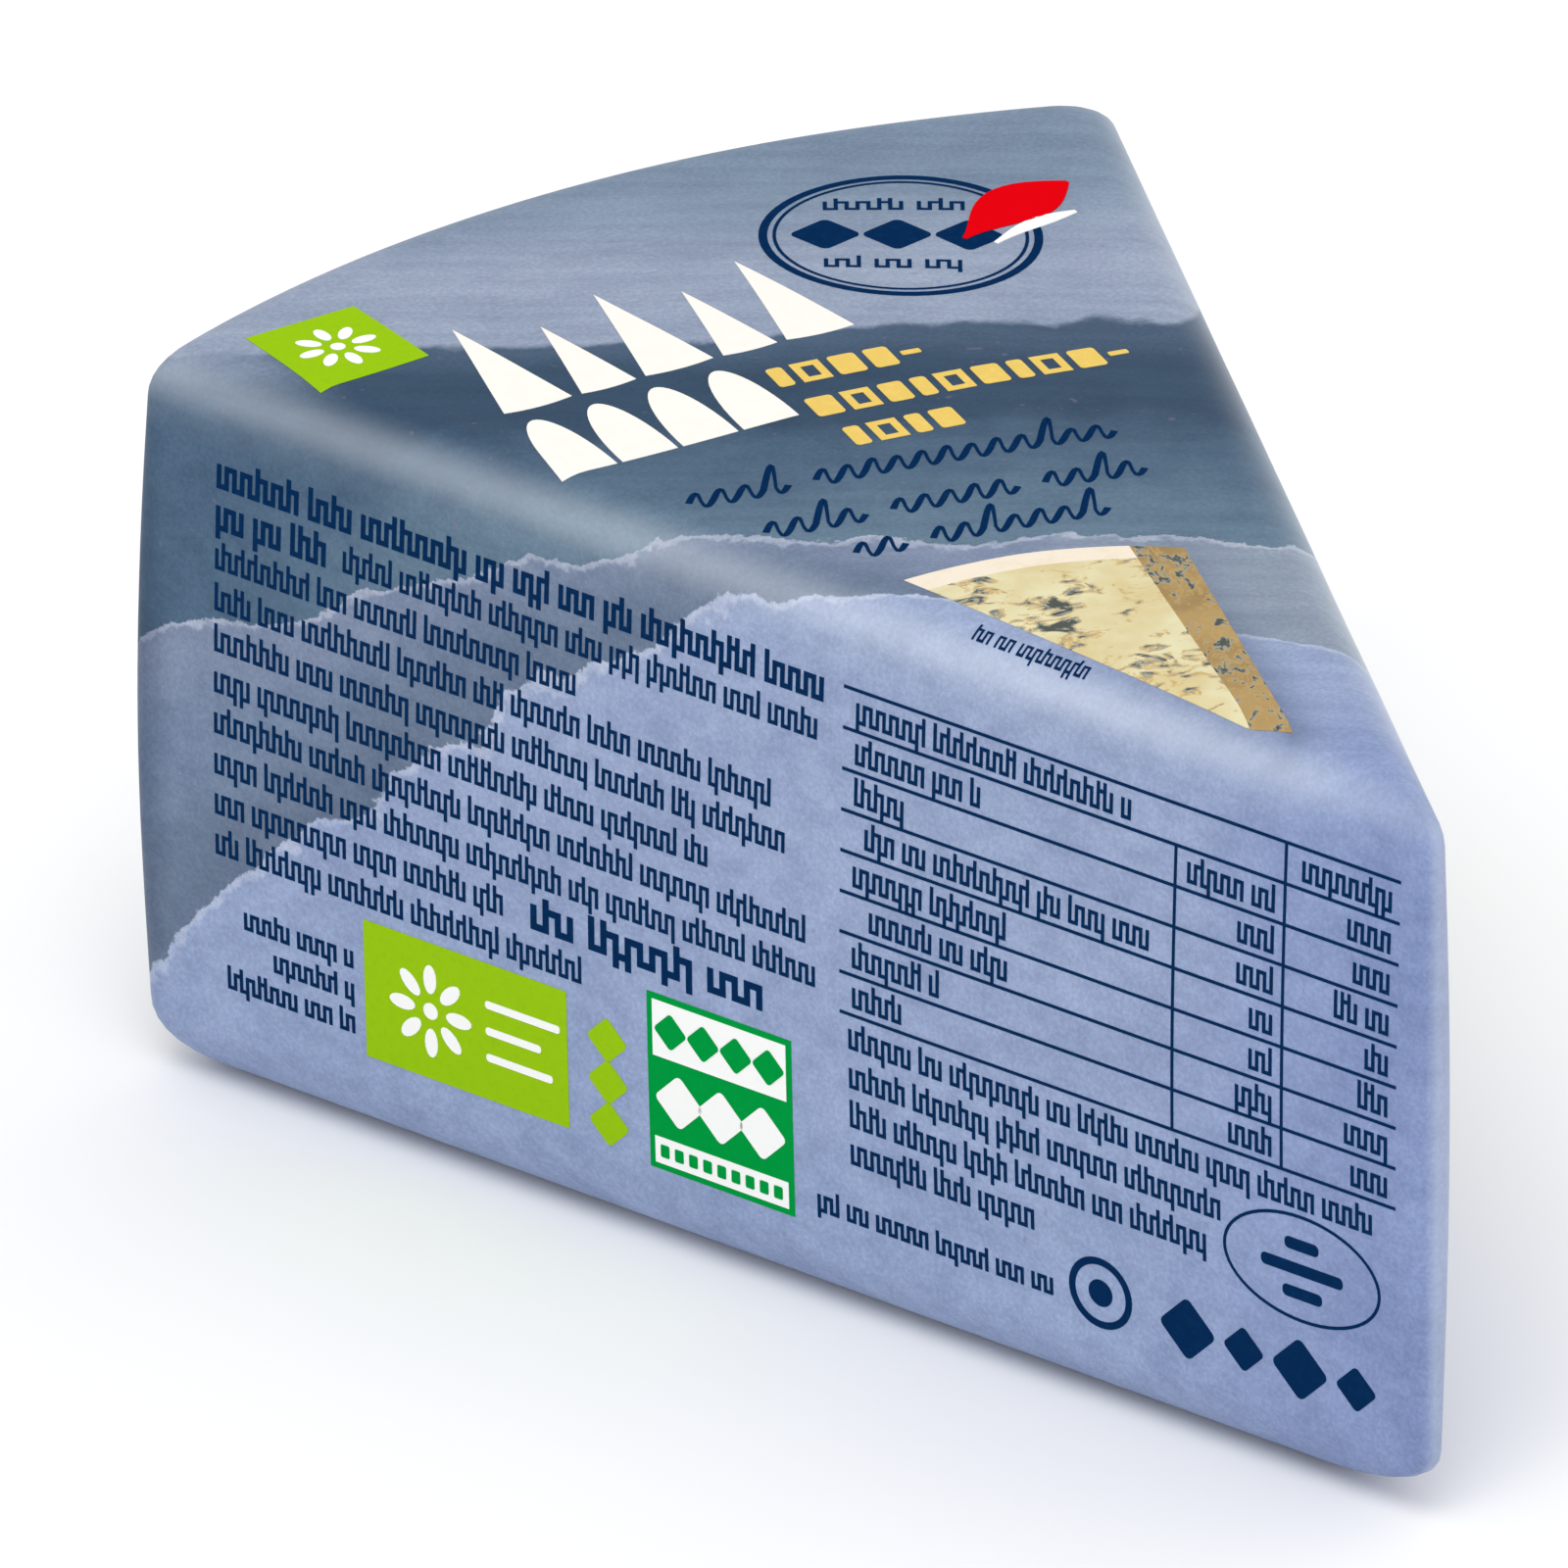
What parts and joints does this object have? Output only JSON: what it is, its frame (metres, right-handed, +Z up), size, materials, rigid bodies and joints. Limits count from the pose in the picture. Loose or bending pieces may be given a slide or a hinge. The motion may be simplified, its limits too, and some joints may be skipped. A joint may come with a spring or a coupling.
{
  "type": "wrapped cheese wedge",
  "caption": "Shut wedge-shaped pack of blue cheese in a printed wrapper, with soft edges, flat cut sides that meet at a point, and a round back.",
  "frame": {"origin": "middle of the bounding box, on the face that the pack rests on", "axes": "+Y from the point to the round back, +Z up from the rest face, +X across the wedge"},
  "size_m": [0.0656, 0.0944, 0.0465],
  "materials": {
    "printed_wrap": "satin printed paper laminate"
  },
  "bodies": {
    "root": {"cheese_pack": "printed_wrap"}
  },
  "joints": []
}
